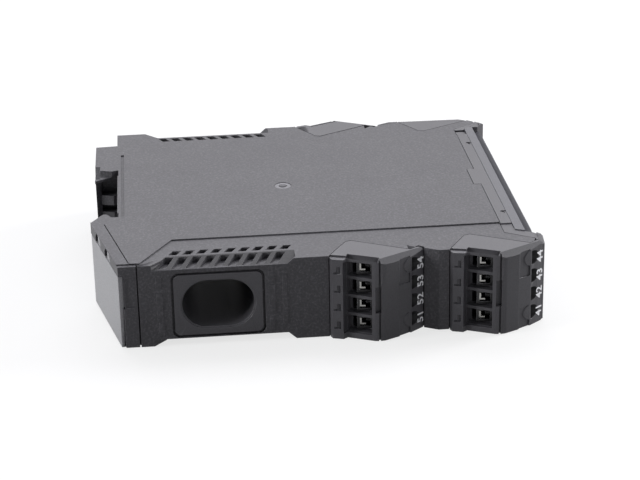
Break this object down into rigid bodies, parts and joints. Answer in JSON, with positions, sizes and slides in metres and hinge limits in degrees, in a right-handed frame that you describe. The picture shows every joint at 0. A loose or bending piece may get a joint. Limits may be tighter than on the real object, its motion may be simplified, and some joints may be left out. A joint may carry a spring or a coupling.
{
  "type": "DIN rail current transducer",
  "caption": "Flat rail-mounted current transducer with an oval window for the conductor, plug-in screw terminals and a hinged front cover",
  "frame": {"origin": "centre of the lower large side, in the middle of the depth and of the height", "axes": "+X from the rail side to the front, +Y across the rail from the near narrow face with the plugs' wire openings to the far one, +Z along the rail"},
  "size_m": [0.1153, 0.1082, 0.0225],
  "materials": {
    "grained_plastic": "fine spark-eroded grain, dark grey",
    "smooth_plastic": "smooth satin, dark grey",
    "cover_plastic": "smooth satin, dark grey",
    "foot_plate_plastic": "smooth, half gloss, dark grey",
    "steel": "bright drawn steel",
    "zinc_steel": "zinc-plated steel",
    "tinned_brass": "tinned brass",
    "black_plastic": "matte black",
    "copper_wire": "enamelled copper wire",
    "circuit_board": "green solder resist",
    "core_sheet": "stacked sheet, oxidised",
    "ferrite": "sintered ferrite with a tape-wrapped winding",
    "can_sleeve": "shrink sleeve over aluminium cans",
    "red_plastic": "clear red moulding",
    "blue_plastic": "blue moulding",
    "white_plastic": "white moulding"
  },
  "bodies": {
    "body": {"housing": "grained_plastic", "front_frame": "smooth_plastic", "cover_pin": "steel", "foot_plate": "foot_plate_plastic", "window_sleeve": "smooth_plastic", "window_cap": "smooth_plastic", "magnetic_core": "core_sheet", "coil_bobbin": "black_plastic", "coil_winding": "copper_wire", "hall_sensor": "black_plastic", "sensor_board": "circuit_board", "main_board": "circuit_board", "transformer": "ferrite", "capacitors": "can_sleeve", "chips": "black_plastic", "status_light": "red_plastic", "dip_switch": "blue_plastic", "zero_trimmer": "blue_plastic", "span_trimmer": "blue_plastic", "bay_cover": "smooth_plastic", "header_41": "black_plastic", "header_pins_41": "tinned_brass", "plug_41": "smooth_plastic", "contacts_41": "tinned_brass", "cages_41": "zinc_steel", "screws_41": "zinc_steel", "header_51": "black_plastic", "header_pins_51": "tinned_brass", "plug_51": "smooth_plastic", "contacts_51": "tinned_brass", "cages_51": "zinc_steel", "screws_51": "zinc_steel", "header_11": "black_plastic", "header_pins_11": "tinned_brass", "plug_11": "smooth_plastic", "contacts_11": "tinned_brass", "cages_11": "zinc_steel", "screws_11": "zinc_steel"},
    "cover": {"front_cover": "cover_plastic"},
    "slider_1": {"dip_slider_1": "white_plastic"},
    "slider_2": {"dip_slider_2": "white_plastic"},
    "slider_3": {"dip_slider_3": "white_plastic"},
    "slider_4": {"dip_slider_4": "white_plastic"},
    "zero_screw": {"zero_rotor": "white_plastic"},
    "span_screw": {"span_rotor": "white_plastic"}
  },
  "joints": [
    {"name": "cover_hinge", "type": "hinge", "parent": "body", "child": "cover", "pos_m": [0.05385, 0.0387, 0.01125], "axis": [0, 0, 1], "range_deg": [0, 95]},
    {"name": "range_switch_1", "type": "slide", "parent": "body", "child": "slider_1", "axis": [0, 0, 1], "range_m": [0, 0.0009]},
    {"name": "range_switch_2", "type": "slide", "parent": "body", "child": "slider_2", "axis": [0, 0, 1], "range_m": [0, 0.0009]},
    {"name": "range_switch_3", "type": "slide", "parent": "body", "child": "slider_3", "axis": [0, 0, 1], "range_m": [0, 0.0009]},
    {"name": "range_switch_4", "type": "slide", "parent": "body", "child": "slider_4", "axis": [0, 0, 1], "range_m": [0, 0.0009]},
    {"name": "zero_trim", "type": "hinge", "parent": "body", "child": "zero_screw", "pos_m": [0.04925, -0.017, 0.0064], "axis": [1, 0, 0], "range_deg": [-130, 130]},
    {"name": "span_trim", "type": "hinge", "parent": "body", "child": "span_screw", "pos_m": [0.04925, 0.017, 0.0064], "axis": [1, 0, 0], "range_deg": [-130, 130]}
  ]
}
